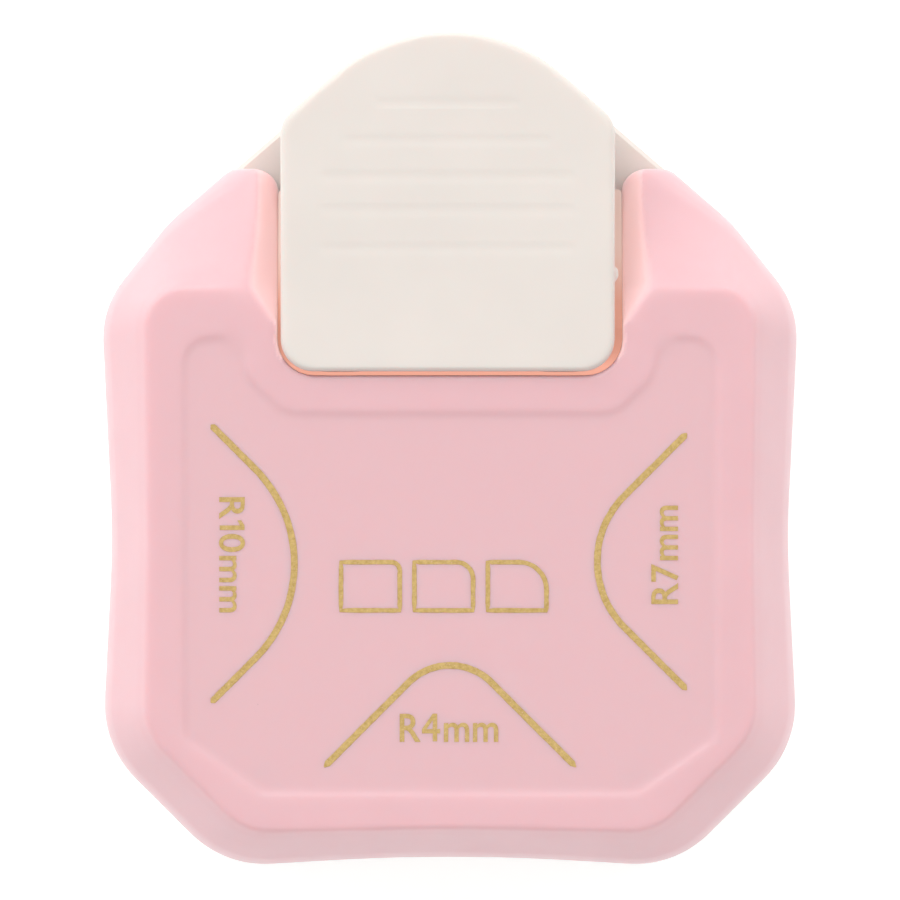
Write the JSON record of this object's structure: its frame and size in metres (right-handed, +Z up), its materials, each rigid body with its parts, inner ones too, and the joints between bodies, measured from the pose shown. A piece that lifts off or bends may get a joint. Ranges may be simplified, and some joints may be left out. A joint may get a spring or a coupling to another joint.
{
  "type": "corner rounder",
  "caption": "Hand-held corner rounder: a rear lever drives punches of three radii through a die, for paper put into slots on the left, right and front.",
  "frame": {"origin": "middle of the footprint, on the surface that the base stands on", "axes": "+Z up, +Y towards the lever's free end at the rear, -Y towards the front slot, +X to the right with the lever at the top"},
  "size_m": [0.0666, 0.0797, 0.033],
  "materials": {
    "case_pink": "glossy moulded plastic, soft pink",
    "body_cream": "satin moulded plastic, warm off-white",
    "carrier_grey": "filled nylon, dark grey",
    "tool_steel": "ground and hardened steel",
    "plated_steel": "zinc plated steel",
    "spring_steel": "bright drawn wire",
    "gold_print": "hot stamped gold print on the case"
  },
  "bodies": {
    "root": {"base": "body_cream", "bracket_screws": "plated_steel", "case_screws": "plated_steel", "deck": "body_cream", "deck_screws": "plated_steel", "die_plate": "tool_steel", "guide_post_left": "plated_steel", "guide_post_rear": "plated_steel", "guide_post_right": "plated_steel", "hinge_bracket_left": "plated_steel", "hinge_bracket_right": "plated_steel", "hinge_pin": "plated_steel", "paper_guide": "plated_steel", "return_spring_left": "spring_steel", "return_spring_rear": "spring_steel", "return_spring_right": "spring_steel", "stack_screws": "plated_steel", "stripper_plate": "plated_steel", "top_case": "case_pink"},
    "lever": {"lever": "body_cream", "press_pin": "plated_steel"},
    "punch": {"punch_carrier": "carrier_grey", "wear_pad": "tool_steel", "punch_r10": "tool_steel", "punch_r7": "tool_steel", "punch_r4": "tool_steel", "punch_screws": "plated_steel"},
    "chip_cover": {"chip_cover": "body_cream"}
  },
  "joints": [
    {"name": "lever_press", "type": "hinge", "parent": "root", "child": "lever", "pos_m": [0, -0.0308, 0.0241], "axis": [-1, 0, 0], "range_deg": [0, 7.24], "stiffness_Nm_per_rad": 1, "springref_deg": -12.03},
    {"name": "punch_slide", "type": "slide", "parent": "root", "child": "punch", "axis": [0, 0, -1], "range_m": [0, 0.00242], "deforming": ["return_spring_left", "return_spring_rear", "return_spring_right"]},
    {"name": "cover_slide", "type": "slide", "parent": "root", "child": "chip_cover", "axis": [0, -1, 0], "range_m": [0, 0.036]}
  ],
  "couplings": [
    {"joint": "punch_slide", "follows": "lever_press", "m_per_rad": 0.019}
  ]
}
